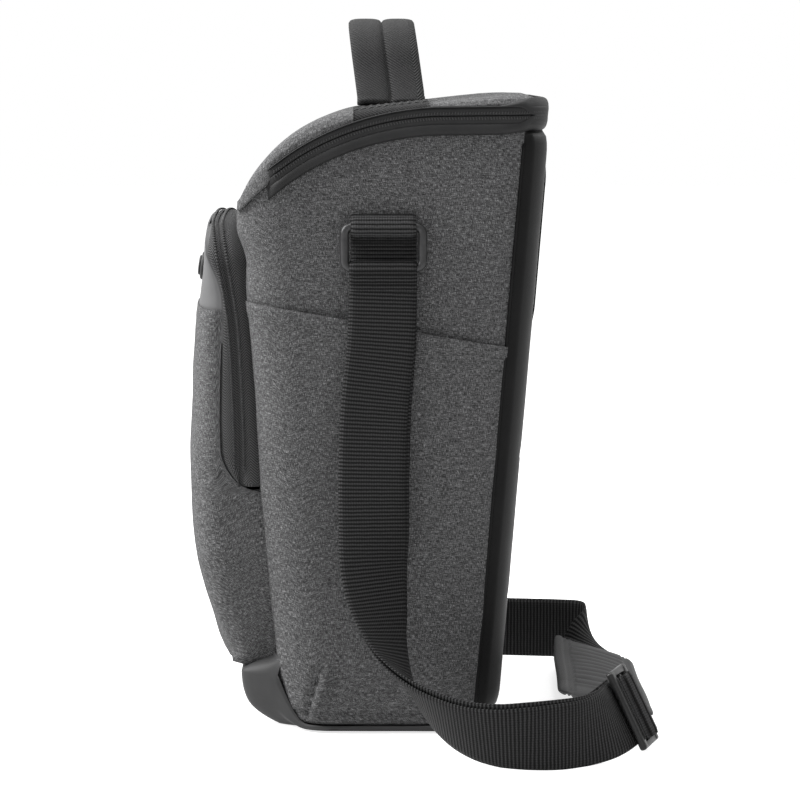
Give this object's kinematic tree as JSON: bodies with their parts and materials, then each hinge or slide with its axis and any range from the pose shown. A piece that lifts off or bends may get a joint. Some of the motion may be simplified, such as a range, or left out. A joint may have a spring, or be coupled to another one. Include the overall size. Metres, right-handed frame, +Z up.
{
  "type": "camera bag",
  "caption": "Tall top-loading padded camera holster bag with zipped domed lid, arched handle, zipped front pocket and adjustable shoulder strap with pad.",
  "frame": {"origin": "middle of the bag's footprint on the floor, without the strap", "axes": "+Z up, -Y the front with the zipped pocket, +X the side with the strap's buckle"},
  "size_m": [0.245, 0.2192, 0.3253],
  "materials": {
    "grey_woven_fabric": "heather woven polyester",
    "black_webbing": "ribbed woven webbing",
    "black_twill_tape": "twill weave tape",
    "grey_coated_fabric": "smooth coated fabric with fine grain",
    "black_coated_fabric": "smooth coated fabric, satin",
    "closed_cell_foam": "matte foam",
    "grey_lining": "brushed tricot",
    "zip_coil_nylon": "nylon coil",
    "dark_metal": "black nickel",
    "black_acetal": "moulded acetal",
    "board_plastic": "pressed sheet"
  },
  "bodies": {
    "bag": {"body_cover": "grey_woven_fabric", "body_foam": "closed_cell_foam", "body_lining": "grey_lining", "base_board": "board_plastic", "base_boot": "grey_coated_fabric", "back_panel": "black_coated_fabric", "belt_loop": "black_webbing", "side_pocket_right": "grey_woven_fabric", "side_pocket_left": "grey_woven_fabric", "zip_band_lower": "black_twill_tape", "zip_coil_lower": "zip_coil_nylon", "strap_anchor_right": "black_webbing", "strap_anchor_left": "black_webbing", "pocket_shell": "grey_woven_fabric", "pocket_rear_gusset": "black_twill_tape", "pocket_coil_rear": "zip_coil_nylon", "strap_outer_layer": "black_webbing", "strap_inner_layer": "black_webbing", "strap_far_run": "black_webbing", "shoulder_pad": "grey_coated_fabric"},
    "lid": {"lid_cover": "grey_woven_fabric", "lid_foam": "closed_cell_foam", "lid_lining": "grey_lining", "zip_band_upper": "black_twill_tape", "zip_coil_upper": "zip_coil_nylon", "carry_handle": "black_webbing", "handle_foot_right": "black_webbing", "handle_foot_left": "black_webbing"},
    "rear_lid_slider": {"lid_slider_rear": "dark_metal"},
    "front_lid_slider": {"lid_slider_front": "dark_metal"},
    "rear_lid_pull": {"lid_pull_rear": "dark_metal"},
    "front_lid_pull": {"lid_pull_front": "dark_metal"},
    "flap": {"flap_panel": "grey_woven_fabric", "flap_front_gusset": "black_twill_tape", "pocket_coil_front": "zip_coil_nylon", "slip_pocket": "grey_coated_fabric", "flap_facing": "grey_coated_fabric", "flap_stud": "grey_coated_fabric"},
    "pocket_zip_slider": {"pocket_slider": "dark_metal"},
    "pocket_zip_pull": {"pocket_pull": "dark_metal"},
    "right_ring": {"ring_right": "dark_metal", "strap_loop_right": "black_webbing"},
    "left_ring": {"ring_left": "dark_metal", "strap_loop_left": "black_webbing"},
    "adjuster": {"adjuster_frame": "black_acetal", "adjuster_webbing": "black_webbing"},
    "divider": {"padded_divider": "grey_lining"}
  },
  "joints": [
    {"name": "lid_hinge", "type": "hinge", "parent": "bag", "child": "lid", "pos_m": [0, -0.0575, 0.2413], "axis": [1, 0, 0], "range_deg": [0, 110]},
    {"name": "rear_lid_zip", "type": "slide", "parent": "bag", "child": "rear_lid_slider", "axis": [-0.0022, 0.9979, 0.0649], "range_m": [0, 0.022]},
    {"name": "front_lid_zip", "type": "slide", "parent": "bag", "child": "front_lid_slider", "axis": [0.0054, -0.9873, -0.1585], "range_m": [0, 0.014]},
    {"name": "rear_lid_pull_swing", "type": "hinge", "parent": "rear_lid_slider", "child": "rear_lid_pull", "pos_m": [-0.09262, 0.037, 0.28446], "axis": [0, 1, 0], "range_deg": [0, 90]},
    {"name": "front_lid_pull_swing", "type": "hinge", "parent": "front_lid_slider", "child": "front_lid_pull", "pos_m": [-0.09259, 0.023, 0.28347], "axis": [0, 1, 0], "range_deg": [0, 90]},
    {"name": "flap_fold", "type": "hinge", "parent": "bag", "child": "flap", "pos_m": [0, -0.0835, 0.112], "axis": [1, 0, 0], "range_deg": [0, 45]},
    {"name": "pocket_zip", "type": "slide", "parent": "bag", "child": "pocket_zip_slider", "axis": [0, -0.0434, 0.9991], "range_m": [0, 0.044]},
    {"name": "pocket_pull_swing", "type": "hinge", "parent": "pocket_zip_slider", "child": "pocket_zip_pull", "pos_m": [-0.0689, -0.05533, 0.124], "axis": [0, 1, 0], "range_deg": [0, 90]},
    {"name": "right_ring_swing", "type": "hinge", "parent": "bag", "child": "right_ring", "pos_m": [0.09, 0.00825, 0.2325], "axis": [0, 1, 0], "range_deg": [-12, 0]},
    {"name": "left_ring_swing", "type": "hinge", "parent": "bag", "child": "left_ring", "pos_m": [-0.09, 0.00825, 0.2325], "axis": [0, 1, 0], "range_deg": [0, 12]},
    {"name": "adjuster_slide", "type": "slide", "parent": "bag", "child": "adjuster", "axis": [-0.9404, 0.3401, 0], "range_m": [-0.005, 0.005]},
    {"name": "divider_lift", "type": "slide", "parent": "bag", "child": "divider", "axis": [0, 0, 1], "range_m": [0, 0.05]}
  ]
}
